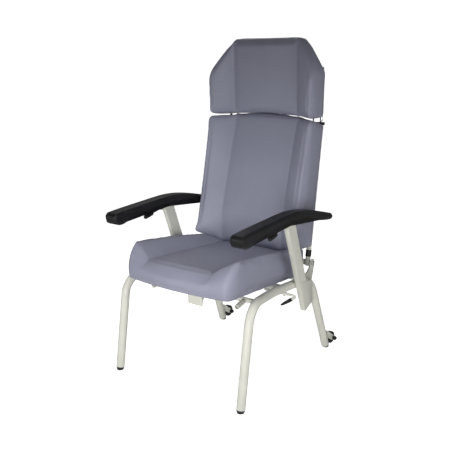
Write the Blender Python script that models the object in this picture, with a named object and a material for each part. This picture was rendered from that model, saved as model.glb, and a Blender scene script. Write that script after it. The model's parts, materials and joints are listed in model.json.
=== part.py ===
"""Patient recliner chair: tubular side frames, padded seat, reclining back, headrest.

Frame: metres, +Z up, +X to the sitter's left, the sitter faces -Y.
The origin is on the floor, in the middle of the chair's bounding box.
"""

import math

import bmesh
import bpy
from mathutils import Vector

GAP = 0.0003

# Side frames: one bent round tube on each side.
TUBE_R = 0.0175
TUBE_END_Z = 0.0125
FRONT_X = 0.293
FRONT_FOOT_Y = -0.3635
FRONT_LEAN = 0.135
RAIL_X = 0.2665
RAIL_REAR_X = 0.2640
RAIL_Z = 0.381
RAIL_Z_AT_Y = -0.2135
RAIL_SLOPE = -0.058
TOE_IN_END_Y = -0.115
REAR_FOOT_X = 0.2768
REAR_FOOT_Y = 0.3367
REAR_LEAN = -0.4267
REAR_SPLAY = -0.0357
FRONT_BEND_R = 0.080
REAR_BEND_R = 0.125

# Feet and rear transport wheels.
SOLE_R = 0.0130
WHEEL_X = 0.2765
WHEEL_Y = 0.3745
WHEEL_Z = 0.033
WHEEL_R = 0.027
TYRE_W = 0.025
HUB_R = 0.018
HUB_W = 0.026
AXLE_R = 0.0045
CHEEK_T = 0.0025
CHEEK_INSIDE = 0.0145

# Cross tubes between the side frames.
CROSS_R = 0.0125
FRONT_CROSS_R = 0.010
FRONT_CROSS_Y = -0.2035
FRONT_CROSS_Z = 0.358
MID_CROSS_Y = -0.020
REAR_CROSS_Y = 0.160
SOCKET_X = 0.200
SOCKET_LENGTH = 0.046
SOCKET_DROP = 0.24

# Arm posts and arm rests.
POST_X = 0.2938
POST_W = 0.020
POST_DEPTH = 0.055
POST_WALL = 0.002
POST_LEAN = -0.4246
POST_FOOT_Y = 0.0727
POST_FOOT_Z = 0.2534
POST_TOP_Z = 0.6357
ARM_X = 0.288
ARM_W = 0.058
ARM_BASE_Z = 0.636
ARM_BASE_T = 0.004
ARM_BASE_W = 0.034
ARM_FLAT = (-0.122, 0.045)

# Seat.
SEAT_HALF = 0.2485
SEAT_NARROWING = 0.0040
SEAT_FRONT_Y = -0.3975
SEAT_REAR_Y = 0.1865
SEAT_FOLD_X = 0.150
SEAT_CREST_X = 0.2385
BOARD_HALF = 0.213
BOARD_T = 0.010

# Back rest, hinged on lugs at the rear of the side frames.
PIVOT_Y = 0.2363
PIVOT_Z = 0.402
BACK_TUBE_X = 0.2235
BACK_TUBE_R = 0.0105
BACK_LEAN = 0.12
BACK_HALF = 0.250
BACK_CREST_X = 0.236
BACK_BOARD_T = 0.008
LUG_X = 0.2425
LUG_T = 0.0038
LUG_R = 0.0185

# Head rest, on posts that slide in the tops of the back tubes.
HEAD_BOTTOM_Z = 1.001
HEAD_TOP_Z = 1.306
HEAD_HALF = 0.246
HEAD_REAR_Y = 0.292
HEAD_POST_R = 0.006
GUIDE_Z = 0.9695
GUIDE_H = 0.012
GUIDE_X = (0.2005, 0.2350)
LOCK_X = 0.1875
LOCK_R = 0.0028

# Recline gas spring under the seat and its crank on the back's cross tube.
CRANK_R = 0.075
RECLINE_RANGE = math.radians(40)
SPRING_Y = MID_CROSS_Y
SPRING_Z = 0.305
CYLINDER_R = 0.011
ROD_R = 0.005
PIN_R = 0.004
EYE_R = 0.011
EYE_W = 0.012

# Hand levers under the arms and the attendant's release shaft.
LEVER_Y = -0.1030
LEVER_Z = 0.6225
KNOB_Y = -0.176
KNOB_Z = 0.606
SHAFT_Y = 0.017
SHAFT_Z = 0.329
SHAFT_R = 0.006

COLOURS = {
    "frame": ((0.62, 0.61, 0.55, 1), 0.35, 0.0),
    "vinyl": ((0.30, 0.31, 0.42, 1), 0.45, 0.0),
    "black_pu": ((0.012, 0.012, 0.013, 1), 0.45, 0.0),
    "rubber": ((0.02, 0.02, 0.02, 1), 0.8, 0.0),
    "steel": ((0.55, 0.56, 0.58, 1), 0.3, 1.0),
    "plywood": ((0.45, 0.30, 0.17, 1), 0.6, 0.0),
    "tyre_grey": ((0.10, 0.10, 0.105, 1), 0.6, 0.0),
    "spring_black": ((0.03, 0.03, 0.03, 1), 0.35, 0.4),
}


# ---------------------------------------------------------------- helpers

def clear_scene():
    for item in list(bpy.data.objects):
        bpy.data.objects.remove(item, do_unlink=True)


def make_material(name, kind):
    colour, roughness, metallic = COLOURS[kind]
    material = bpy.data.materials.new(name)
    material.use_nodes = True
    shader = material.node_tree.nodes["Principled BSDF"]
    shader.inputs["Base Color"].default_value = colour
    shader.inputs["Roughness"].default_value = roughness
    shader.inputs["Metallic"].default_value = metallic
    return material


def finish_object(name, mesh, kind, smooth_angle=40):
    """Link a mesh as a named object with its own material."""
    mesh.materials.clear()
    mesh.materials.append(make_material(name + "_finish", kind))
    if smooth_angle:
        mesh.shade_smooth()
        mesh.set_sharp_from_angle(angle=math.radians(smooth_angle))
    item = bpy.data.objects.new(name, mesh)
    bpy.context.collection.objects.link(item)
    return item


def mesh_from(name, build):
    """Build a mesh with a bmesh function and point its faces outwards."""
    bm = bmesh.new()
    build(bm)
    bmesh.ops.recalc_face_normals(bm, faces=bm.faces)
    mesh = bpy.data.meshes.new(name)
    bm.to_mesh(mesh)
    bm.free()
    return mesh


def loft(bm, rings):
    """Skin closed rings of equal length and cap both ends."""
    loops = [[bm.verts.new(point) for point in ring] for ring in rings]
    count = len(loops[0])
    for near, far in zip(loops, loops[1:]):
        for i in range(count):
            j = (i + 1) % count
            bm.faces.new((near[i], near[j], far[j], far[i]))
    bm.faces.new(loops[0][::-1])
    bm.faces.new(loops[-1])


def prism_x(bm, outline, x0, x1):
    """Extrude a side-view (y, z) outline along X."""
    loft(bm, [[(x, y, z) for y, z in outline] for x in (x0, x1)])


def box(bm, low, high):
    outline = [(low[1], low[2]), (high[1], low[2]), (high[1], high[2]), (low[1], high[2])]
    prism_x(bm, outline, low[0], high[0])


def circle(radius, sides, centre=(0.0, 0.0), start=0.0):
    return [(centre[0] + radius * math.cos(start + 2 * math.pi * i / sides),
             centre[1] + radius * math.sin(start + 2 * math.pi * i / sides))
            for i in range(sides)]


def arc(centre, radius, start, end, steps):
    """Points (y, z) on an arc, angles in degrees from +Y towards +Z."""
    points = []
    for i in range(steps + 1):
        angle = math.radians(start + (end - start) * i / steps)
        points.append((centre[0] + radius * math.cos(angle), centre[1] + radius * math.sin(angle)))
    return points


def turned(bm, profile, sides, origin, axis):
    """Revolve a closed (radius, height) profile about an axis; radius 0 makes a solid."""
    axis = Vector(axis).normalized()
    side = axis.orthogonal().normalized()
    other = axis.cross(side)
    origin = Vector(origin)
    on_axis = {i: bm.verts.new(origin + axis * h) for i, (r, h) in enumerate(profile) if r == 0}
    columns = []
    for i in range(sides):
        angle = 2 * math.pi * i / sides
        out = side * math.cos(angle) + other * math.sin(angle)
        columns.append([on_axis[k] if k in on_axis else bm.verts.new(origin + out * r + axis * h)
                        for k, (r, h) in enumerate(profile)])
    count = len(profile)
    for i in range(sides):
        here, there = columns[i], columns[(i + 1) % sides]
        for k in range(count):
            m = (k + 1) % count
            if k in on_axis and m in on_axis:
                continue
            corners = [here[k], here[m], there[m], there[k]]
            face = [v for n, v in enumerate(corners) if v not in corners[:n]]
            bm.faces.new(face)


def rod(bm, start, end, radius, sides=12):
    start, end = Vector(start), Vector(end)
    length = (end - start).length
    profile = [(0.0, 0.0), (radius, 0.0), (radius, length), (0.0, length)]
    turned(bm, profile, sides, start, end - start)


def rounded_path(corners, radii, step=math.radians(11)):
    """Points along a polyline whose inner corners are replaced by arcs."""
    corners = [Vector(c) for c in corners]
    points = [corners[0]]
    for before, corner, after, radius in zip(corners, corners[1:], corners[2:], radii):
        to_before = (before - corner).normalized()
        to_after = (after - corner).normalized()
        turn = math.pi - to_before.angle(to_after)
        reach = radius * math.tan(turn / 2)
        inward = (to_before + to_after).normalized()
        centre = corner + inward * (radius / math.cos(turn / 2))
        first = (corner + to_before * reach - centre).normalized()
        last = (corner + to_after * reach - centre).normalized()
        steps = max(2, round(turn / step))
        for i in range(steps + 1):
            points.append(centre + first.slerp(last, i / steps).normalized() * radius)
    points.append(corners[-1])
    return points


def tube_mesh(name, points, radius, sides=16):
    """Sweep a round section along points, with flat filled ends."""
    def build(bm):
        rings = []
        normal = None
        for i, point in enumerate(points):
            ahead = points[min(i + 1, len(points) - 1)] - point
            behind = point - points[max(i - 1, 0)]
            tangent = (ahead.normalized() + behind.normalized()).normalized()
            if normal is None:
                normal = tangent.orthogonal().normalized()
            normal = (normal - tangent * normal.dot(tangent)).normalized()
            other = tangent.cross(normal)
            rings.append([point + normal * y + other * z for y, z in circle(radius, sides)])
        loft(bm, rings)
    return mesh_from(name, build)


def boolean(item, other_mesh, operation):
    """Apply an exact Boolean with a temporary object."""
    tool = bpy.data.objects.new("tool", other_mesh)
    bpy.context.collection.objects.link(tool)
    modifier = item.modifiers.new(operation.lower(), "BOOLEAN")
    modifier.operation = operation
    modifier.solver = "EXACT"
    modifier.object = tool
    bpy.context.view_layer.update()
    graph = bpy.context.evaluated_depsgraph_get()
    result = bpy.data.meshes.new_from_object(item.evaluated_get(graph))
    item.modifiers.remove(modifier)
    item.data = result
    bpy.data.objects.remove(tool, do_unlink=True)


def sides_of_chair():
    return (("right", 1), ("left", -1))


def mirror_point(point, side):
    return Vector((point[0] * side, point[1], point[2]))


# ---------------------------------------------------------------- shared geometry

def rail_z(y):
    return RAIL_Z + RAIL_SLOPE * (y - RAIL_Z_AT_Y)


def front_leg(z):
    return Vector((FRONT_X, FRONT_FOOT_Y + FRONT_LEAN * z, z))


def rear_leg(z):
    return Vector((REAR_FOOT_X + REAR_SPLAY * z, REAR_FOOT_Y + REAR_LEAN * z, z))


def corner_z(leg, start):
    """Height where a leg's line meets the rail's line."""
    z = start
    for _ in range(20):
        z = rail_z(leg(z).y)
    return z


def seat_bottom(y):
    return 0.3751 - 0.0577 * y


def seat_panel(y):
    return 0.4767 - 0.0581 * (y + 0.3435)


def seat_crest(y):
    return 0.5315 - 0.0967 * max(y + 0.2635, 0.0) - 0.060 * max(y + 0.075, 0.0)


def seat_top(x, y):
    rise = min(max((abs(x) - SEAT_FOLD_X) / (SEAT_CREST_X - SEAT_FOLD_X), 0.0), 1.0)
    return seat_panel(y) + rise * (seat_crest(y) - seat_panel(y))


def back_rear(z):
    return 0.2385 + BACK_LEAN * (z - 0.516)


def back_tube(z, side=1):
    return Vector((BACK_TUBE_X * side, back_rear(z) + BACK_TUBE_R + 0.0005, z))


def back_panel(z):
    """Front of the back's middle panel: upright at the lumbar, leaning back above it."""
    above = max(z - 0.585, 0.0)
    return 0.142 + 0.262 * above - 0.03 * min(above, 0.12)


def back_crest(z):
    return 0.1635 + 0.19 * (z - 0.978)


def back_front(x, z):
    rise = min(max((abs(x) - SEAT_FOLD_X) / (BACK_CREST_X - SEAT_FOLD_X), 0.0), 1.0)
    return back_panel(z) + rise * (back_crest(z) - back_panel(z))


def head_panel(z):
    return 0.234 - 0.056 * (z - 1.0)


# ---------------------------------------------------------------- frame

def side_frame(side_name, side):
    front_z = corner_z(front_leg, 0.38)
    rear_z = corner_z(rear_leg, 0.36)
    front_corner = front_leg(front_z)
    rear_corner = rear_leg(rear_z)
    rear_corner.x = RAIL_REAR_X
    toe_in_end = Vector((RAIL_X, TOE_IN_END_Y, rail_z(TOE_IN_END_Y)))
    corners = [front_leg(TUBE_END_Z), front_corner, toe_in_end, rear_corner, rear_leg(TUBE_END_Z)]
    path = rounded_path(corners, (FRONT_BEND_R, 0.25, REAR_BEND_R))
    name = "side_frame_" + side_name
    mesh = tube_mesh(name, [mirror_point(p, side) for p in path], TUBE_R)
    finish_object(name, mesh, "frame")


def foot_cap(name, leg, side):
    """Rubber plug under the tube's end, with a smaller level sole."""
    axis = (leg(1.0) - leg(0.0)).normalized()
    across = Vector((1, 0, 0))
    across = (across - axis * across.dot(axis)).normalized()
    other = axis.cross(across)
    seat = leg(TUBE_END_Z) - axis * GAP
    sole = leg(0.0)

    def build(bm):
        rings = []
        for i in range(4):
            share = i / 3
            radius = SOLE_R + (TUBE_R - 0.0003 - SOLE_R) * math.sin(share * math.pi / 2)
            ring = []
            for a, b in circle(radius, 16):
                level = sole + Vector((a, b, 0))
                tilted = seat + across * a + other * b
                point = level.lerp(tilted, share)
                ring.append(mirror_point(point, side))
            rings.append(ring)
        loft(bm, rings)
    finish_object(name, mesh_from(name, build), "rubber")


def cross_tube(name, y, z, radius, half_length, kind="frame"):
    def build(bm):
        rod(bm, (-half_length, y, z), (half_length, y, z), radius, 16)
    return finish_object(name, mesh_from(name, build), kind)


def cross_tubes():
    front_half = FRONT_X - TUBE_R - 0.012
    cross_tube("front_cross_tube", FRONT_CROSS_Y, FRONT_CROSS_Z, FRONT_CROSS_R, front_half)
    reach = RAIL_REAR_X - TUBE_R - 0.003
    rear_z = seat_bottom(REAR_CROSS_Y) - CROSS_R - GAP
    cross_tube("rear_cross_tube", REAR_CROSS_Y, rear_z, CROSS_R, LUG_X - GAP)
    mid_z = seat_bottom(MID_CROSS_Y) - CROSS_R - GAP
    middle = cross_tube("mid_cross_tube", MID_CROSS_Y, mid_z, CROSS_R, reach)
    ear_inside = EYE_W / 2 + 0.001
    for x0 in (ear_inside, -ear_inside - 0.004):
        ear = [(SPRING_Y - 0.012, mid_z)]
        ear += arc((SPRING_Y, SPRING_Z), 0.012, 180, 360, 8)
        ear += [(SPRING_Y + 0.012, mid_z)]
        boolean(middle, mesh_from("ear", lambda bm: prism_x(bm, ear, x0, x0 + 0.004)), "UNION")
    pin_end = ear_inside + 0.001
    pin = mesh_from("pin", lambda bm: rod(bm, (-pin_end, SPRING_Y, SPRING_Z),
                                          (pin_end, SPRING_Y, SPRING_Z), PIN_R))
    boolean(middle, pin, "UNION")
    middle.data.shade_smooth()
    middle.data.set_sharp_from_angle(angle=math.radians(40))


def socket_tube(side_name, side):
    """Short open socket welded to the front cross tube, pointing forward and down."""
    along = Vector((0.0, -1.0, -SOCKET_DROP)).normalized()
    start = Vector((SOCKET_X * side, FRONT_CROSS_Y, FRONT_CROSS_Z)) + along * (FRONT_CROSS_R + 0.001)
    profile = [(0.0, 0.0), (FRONT_CROSS_R, 0.0), (FRONT_CROSS_R, SOCKET_LENGTH),
               (0.0078, SOCKET_LENGTH), (0.0078, 0.006), (0.0, 0.006)]
    name = "socket_tube_" + side_name
    finish_object(name, mesh_from(name, lambda bm: turned(bm, profile, 16, start, along)), "frame")


def hook_plate():
    """Flat lipped plate on the front cross tube, in the middle of the seat."""
    top = FRONT_CROSS_Z + FRONT_CROSS_R + GAP
    rear, front, thick = FRONT_CROSS_Y + 0.008, FRONT_CROSS_Y - 0.045, 0.003
    low = 0.307
    outline = [(rear, top), (rear, top + thick), (front, top + thick), (front, low),
               (front + thick, low), (front + thick, top)]
    finish_object("hook_plate", mesh_from("hook_plate", lambda bm: prism_x(bm, outline, -0.034, 0.034)),
                  "frame", 0)


# ---------------------------------------------------------------- arms

def post_outline(inset, foot_drop, top):
    """Side view of the leaning post: square-cut foot, level top."""
    axis = Vector((POST_LEAN, 1.0)).normalized()
    across = Vector((axis.y, -axis.x))
    foot_front = Vector((POST_FOOT_Y, POST_FOOT_Z)) + across * inset - axis * foot_drop
    foot_rear = foot_front + across * (POST_DEPTH - 2 * inset)
    points = [foot_front, foot_rear]
    for foot in (foot_rear, foot_front):
        points.append(foot + axis * ((top - foot.y) / axis.y))
    return [(p.x, p.y) for p in points]


def arm_post(side_name, side):
    name = "arm_post_" + side_name
    low, high = POST_X - POST_W / 2, POST_X + POST_W / 2

    def build(bm):
        prism_x(bm, post_outline(0.0, 0.0, POST_TOP_Z), low * side, high * side)
        long_edges = [e for e in bm.edges
                      if abs(e.verts[0].co.x - e.verts[1].co.x) < 1e-6
                      and abs(e.verts[0].co.z - e.verts[1].co.z) > 0.2]
        bmesh.ops.bevel(bm, geom=long_edges, offset=0.003, segments=3, profile=0.5, affect="EDGES")

    post = finish_object(name, mesh_from(name, build), "frame")
    inner = post_outline(POST_WALL, 0.01, POST_TOP_Z - 0.003)
    bore = mesh_from("bore", lambda bm: prism_x(bm, inner, (low + POST_WALL) * side,
                                                (high - POST_WALL) * side))
    boolean(post, bore, "DIFFERENCE")
    post.data.shade_smooth()
    post.data.set_sharp_from_angle(angle=math.radians(30))


def spline(points, per_span):
    """Catmull-Rom curve through (y, z) points, ends clamped."""
    padded = [points[0]] + list(points) + [points[-1]]
    curve = []
    for a, b, c, d in zip(padded, padded[1:], padded[2:], padded[3:]):
        for i in range(per_span):
            t = i / per_span
            weights = (-t + 2 * t * t - t ** 3, 2 - 5 * t * t + 3 * t ** 3,
                       t + 4 * t * t - 3 * t ** 3, -t * t + t ** 3)
            curve.append(tuple(sum(w * p[k] for w, p in zip(weights, (a, b, c, d))) / 2
                               for k in (0, 1)))
    curve.append(points[-1])
    return curve


def arm_outline():
    """Boomerang side view: dropped nose, peak over the post, tail falling to the rear."""
    flat = ARM_BASE_Z + ARM_BASE_T + GAP
    top = spline([(-0.392, 0.652), (-0.340, 0.6575), (-0.200, 0.6675), (-0.060, 0.6755),
                  (0.045, 0.667), (0.165, 0.6445), (0.2525, 0.6230)], 3)
    tail = arc((0.2515, 0.6095), 0.0135, 75, -95, 5)
    under = spline([(0.190, 0.604), (0.110, 0.6190), (ARM_FLAT[1] + 0.004, flat)], 3)
    nose = spline([(ARM_FLAT[0] - 0.006, flat), (-0.235, 0.6320), (-0.300, 0.6230),
                   (-0.345, 0.6060), (-0.378, 0.6050)], 3)
    chin = [(-0.3955, 0.6150), (-0.4010, 0.6300), (-0.4015, 0.6420)]
    return top + tail + under + nose + chin


def arm_pad(side_name, side):
    name = "arm_pad_" + side_name
    outline = arm_outline()

    def inset(amount):
        """Pull the clockwise outline inwards along its normals."""
        points = []
        for i, (y, z) in enumerate(outline):
            before, after = outline[i - 1], outline[(i + 1) % len(outline)]
            along = Vector((after[0] - before[0], after[1] - before[1])).normalized()
            points.append((y + along.y * amount, z - along.x * amount))
        return points

    def build(bm):
        half = ARM_W / 2
        stations = ((-half, 0.007), (-half + 0.007, 0.0), (half - 0.007, 0.0), (half, 0.007))
        rings = []
        for offset, pull in stations:
            x = (ARM_X + offset) * side
            rings.append([(x, y, z) for y, z in inset(pull)])
        loft(bm, rings)
    finish_object(name, mesh_from(name, build), "black_pu")


def arm_base(side_name, side):
    """Steel strip under the pad, with two ears and a pin for the hand lever."""
    name = "arm_base_" + side_name
    low = ARM_BASE_Z
    strip = mesh_from(name, lambda bm: box(bm, (POST_X - ARM_BASE_W / 2, ARM_FLAT[0], low),
                                           (POST_X + ARM_BASE_W / 2, ARM_FLAT[1], low + ARM_BASE_T)))
    item = finish_object(name, strip, "frame", 30)
    ear_inside = 0.0080
    for x0 in (ear_inside, -ear_inside - 0.002):
        outline = [(LEVER_Y - 0.007, low + 0.001)]
        outline += arc((LEVER_Y, LEVER_Z), 0.007, 180, 360, 6)
        outline += [(LEVER_Y + 0.007, low + 0.001)]
        ear = mesh_from("ear", lambda bm: prism_x(bm, outline, POST_X + x0, POST_X + x0 + 0.002))
        boolean(item, ear, "UNION")
    reach = ear_inside + 0.0035
    pin = mesh_from("pin", lambda bm: rod(bm, (POST_X - reach, LEVER_Y, LEVER_Z),
                                          (POST_X + reach, LEVER_Y, LEVER_Z), 0.0025, 10))
    boolean(item, pin, "UNION")
    if side < 0:
        for vertex in item.data.vertices:
            vertex.co.x = -vertex.co.x
        item.data.flip_normals()
    item.data.shade_smooth()
    item.data.set_sharp_from_angle(angle=math.radians(30))


def hand_lever(side_name, side):
    """Bent-up rod with an eye on the pivot pin, and an oval grip on its end."""
    pivot = Vector((POST_X * side, LEVER_Y, LEVER_Z))
    grip = Vector((POST_X * side, KNOB_Y, KNOB_Z))
    along = (grip - pivot).normalized()
    name = "hand_lever_" + side_name
    half = 0.0072
    eye_profile = [(0.0031, -half), (0.006, -half), (0.006, half), (0.0031, half)]
    eye = mesh_from(name, lambda bm: turned(bm, eye_profile, 16, pivot, (1, 0, 0)))
    item = finish_object(name, eye, "steel")
    bar = mesh_from("bar", lambda bm: rod(bm, pivot + along * 0.0045, grip - along * 0.012, 0.003, 10))
    boolean(item, bar, "UNION")
    item.data.shade_smooth()
    item.data.set_sharp_from_angle(angle=math.radians(40))
    length, radius = 0.056, 0.009
    profile = [(0.0, -length / 2)]
    for i in range(1, 6):
        angle = math.radians(90 * i / 5)
        profile.append((radius * math.sin(angle), -length / 2 + 0.012 * (1 - math.cos(angle))))
    mirrored = [(r, -h) for r, h in reversed(profile)]
    mouth = mirrored[-3]
    bore = [(0.0033, mouth[1]), (0.0033, 0.002), (0.0, 0.002)]
    profile = profile + mirrored[:-2] + bore
    knob_name = "lever_knob_" + side_name
    knob = mesh_from(knob_name, lambda bm: turned(bm, profile, 16, grip, -along))
    finish_object(knob_name, knob, "black_pu")


# ---------------------------------------------------------------- brackets on the frame

def gusset(side_name, side):
    """Outer plate over the post's foot, folded in to meet the rear leg."""
    outer = POST_X + POST_W / 2
    axis = Vector((POST_LEAN, 1.0)).normalized()
    across = Vector((axis.y, -axis.x))
    foot = Vector((POST_FOOT_Y, POST_FOOT_Z))
    thick = 0.003
    name = "gusset_" + side_name

    def at_height(start, z):
        return start + axis * ((z - start.y) / axis.y)

    front_low, rear_low = foot, foot + across * POST_DEPTH
    front_high = at_height(foot, 0.384)
    rear_high = at_height(rear_low, 0.378)
    reach_low, reach_high = Vector((0.2035, 0.255)), Vector((0.157, 0.357))
    x_low, x_high = 0.2680, 0.2852

    def build(bm):
        rings = []
        for low, high, x0, x1 in ((front_low, front_high, outer + GAP, outer + GAP),
                                  (rear_low, rear_high, outer + GAP, outer + GAP),
                                  (reach_low, reach_high, x_low, x_high)):
            rings.append([(x0 * side, low.x, low.y), ((x0 + thick) * side, low.x, low.y),
                          ((x1 + thick) * side, high.x, high.y), (x1 * side, high.x, high.y)])
        loft(bm, rings)
    finish_object(name, mesh_from(name, build), "frame", 15)


def pivot_lug(side_name, side):
    """Inner plate that carries the back's pivot above the rear leg's bend."""
    hole_sides = 16
    outline = arc((PIVOT_Y, PIVOT_Z), LUG_R, 165, -10, 10)
    outline += [(0.2400, 0.340), (0.2280, 0.310), (0.1650, 0.318), (0.1400, 0.340), (0.1500, 0.366),
                (0.1980, 0.372)]
    name = "pivot_lug_" + side_name
    item = finish_object(name, mesh_from(name, lambda bm: prism_x(bm, outline, LUG_X * side,
                                                                  (LUG_X + LUG_T) * side)), "frame", 0)
    hole = mesh_from("hole", lambda bm: rod(bm, ((LUG_X - 0.01) * side, PIVOT_Y, PIVOT_Z),
                                            ((LUG_X + 0.02) * side, PIVOT_Y, PIVOT_Z), 0.0054, hole_sides))
    boolean(item, hole, "DIFFERENCE")


def pivot_bolt(side_name, side):
    """Recline pivot: bolt through lug and back tube, head outside."""
    head_x = LUG_X + LUG_T + GAP
    inner_end = BACK_TUBE_X - 0.004
    name = "pivot_bolt_" + side_name
    profile = [(0.0, 0.0), (0.0085, 0.0), (0.0085, 0.0035), (0.0070, 0.0055), (0.0, 0.0055)]

    def build(bm):
        points = [(0.0, inner_end - head_x), (0.0050, inner_end - head_x), (0.0050, 0.0)]
        turned(bm, points + profile[1:], 16, (head_x * side, PIVOT_Y, PIVOT_Z), (side, 0, 0))
    finish_object(name, mesh_from(name, build), "steel")


def wheel_centre(side):
    return Vector((WHEEL_X * side, WHEEL_Y, WHEEL_Z))


def wheel_fork(side_name, side):
    """Two cheeks and a web that hold the wheel behind the foot of the rear leg."""
    centre = wheel_centre(side)
    name = "wheel_fork_" + side_name

    def leg_rear(z, clearance):
        return rear_leg(z).y + (TUBE_R + clearance) / math.cos(math.atan(REAR_LEAN))

    web_low, web_high, thick = 0.040, 0.080, 0.003
    web = [(leg_rear(web_low, 0.0008), web_low), (leg_rear(web_low, 0.0008) + thick, web_low),
           (leg_rear(web_high, 0.0008) + thick, web_high), (leg_rear(web_high, 0.0008), web_high)]
    wide = CHEEK_INSIDE + CHEEK_T
    item = finish_object(name, mesh_from(name, lambda bm: prism_x(bm, web, centre.x - wide + 0.0002,
                                                                  centre.x + wide - 0.0002)), "frame", 30)
    cheek = [(leg_rear(web_low, 0.0008), web_low)]
    cheek += arc((WHEEL_Y, WHEEL_Z), 0.011, 250, 410, 8)
    cheek += [(leg_rear(web_high, 0.0008), web_high)]
    for low in (-wide, CHEEK_INSIDE):
        plate = mesh_from("cheek", lambda bm: prism_x(bm, cheek, centre.x + low, centre.x + low + CHEEK_T))
        boolean(item, plate, "UNION")
    hole = mesh_from("hole", lambda bm: rod(bm, (centre.x - 0.03, WHEEL_Y, WHEEL_Z),
                                            (centre.x + 0.03, WHEEL_Y, WHEEL_Z), AXLE_R + GAP, 14))
    boolean(item, hole, "DIFFERENCE")
    item.data.shade_smooth()
    item.data.set_sharp_from_angle(angle=math.radians(30))


def wheel(side_name, side):
    centre = wheel_centre(side)
    half = HUB_W / 2
    bore = AXLE_R + GAP
    hub = [(bore, -half), (0.008, -half), (0.0085, -half + 0.004), (0.0165, -half + 0.005),
           (HUB_R, -half + 0.0015), (HUB_R, half - 0.0015), (0.0165, half - 0.005),
           (0.0085, half - 0.004), (0.008, half), (bore, half)]
    name = "wheel_hub_" + side_name
    finish_object(name, mesh_from(name, lambda bm: turned(bm, hub, 24, centre, (1, 0, 0))), "tyre_grey")
    wide = TYRE_W / 2
    tread = [(HUB_R + GAP, -wide), (WHEEL_R - 0.003, -wide), (WHEEL_R - 0.0006, -wide + 0.003),
             (WHEEL_R, 0.0), (WHEEL_R - 0.0006, wide - 0.003), (WHEEL_R - 0.003, wide),
             (HUB_R + GAP, wide)]
    name = "wheel_tyre_" + side_name
    finish_object(name, mesh_from(name, lambda bm: turned(bm, tread, 32, centre, (1, 0, 0))), "rubber")


def wheel_axle(side_name, side):
    """Axle screw with a domed cap on both ends."""
    centre = wheel_centre(side)
    inner = CHEEK_INSIDE + CHEEK_T + GAP
    cap = [(AXLE_R, inner), (0.0095, inner), (0.0095, inner + 0.0090), (0.0085, inner + 0.0130),
           (0.0060, inner + 0.0155), (0.0, inner + 0.0165)]
    profile = [(r, -h) for r, h in reversed(cap)] + cap
    name = "wheel_axle_" + side_name
    finish_object(name, mesh_from(name, lambda bm: turned(bm, profile, 16, centre, (1, 0, 0))), "black_pu")


# ---------------------------------------------------------------- seat

def both_ways(stations):
    return [-x for x in reversed(stations) if x > 0] + list(stations)


def seat_section(x):
    """Side view of the seat cushion at one distance from the middle."""
    corner_r = 0.030
    corner = max(abs(x) - SEAT_HALF + corner_r, 0.0)
    bow = 0.45 * x * x + corner_r - math.sqrt(corner_r ** 2 - corner ** 2)
    front = SEAT_FRONT_Y + bow
    edge = max(abs(x) - 0.2395, 0.0) / (SEAT_HALF - 0.2395)
    tuck = 0.034 * edge ** 2
    points = [(SEAT_REAR_Y - 0.010 * edge, seat_bottom(SEAT_REAR_Y) + tuck),
              (front + 0.022, seat_bottom(front) + tuck),
              (front + 0.0065, seat_bottom(front) + 0.010 + tuck),
              (front + 0.002, 0.418 + 0.4 * tuck)]
    depth, level = 0.054, 0.434
    shoulder = front + depth
    height = seat_top(x, shoulder) - 0.009 * edge
    knee = height - 0.40 * (height - level)
    for share in (0.0, 0.2, 0.4, 0.6, 0.8):
        rest = 1 - share
        points.append((front + depth * share ** 2,
                       level * rest ** 2 + 2 * knee * rest * share + height * share ** 2))
    for y in (shoulder, -0.25, -0.10, 0.04, SEAT_REAR_Y - 0.012 * edge):
        points.append((y, seat_top(x, y) - 0.009 * edge))
    return points


def seat_ring(x):
    """One section of the seat, which narrows slightly between the arms."""
    ring = []
    for y, z in seat_section(x):
        narrowing = SEAT_NARROWING * min(max((y + 0.20) / 0.20, 0.0), 1.0)
        ring.append((x * (1 - narrowing / SEAT_HALF), y, z))
    return ring


def seat_cushion():
    stations = both_ways((0.0, 0.08, SEAT_FOLD_X, 0.195, 0.225, 0.2385, 0.2440, SEAT_HALF))
    rings = [seat_ring(x) for x in stations]
    item = finish_object("seat_cushion", mesh_from("seat_cushion", lambda bm: loft(bm, rings)), "vinyl", 50)
    recess = mesh_from("recess", lambda bm: prism_x(bm, seat_board_outline(GAP, 0.02), -BOARD_HALF - GAP,
                                                    BOARD_HALF + GAP))
    boolean(item, recess, "DIFFERENCE")


def seat_board_outline(gap, below):
    """Side view of the board let into the cushion's underside."""
    front, rear = SEAT_FRONT_Y + 0.060 - gap, SEAT_REAR_Y - 0.012 + gap
    return [(front, seat_bottom(front) - below), (rear, seat_bottom(rear) - below),
            (rear, seat_bottom(rear) + BOARD_T + gap), (front, seat_bottom(front) + BOARD_T + gap)]


def seat_board():
    outline = seat_board_outline(0.0, 0.0)
    finish_object("seat_board", mesh_from("seat_board", lambda bm: prism_x(bm, outline, -BOARD_HALF,
                                                                           BOARD_HALF)), "plywood", 0)


# ---------------------------------------------------------------- back

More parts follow.
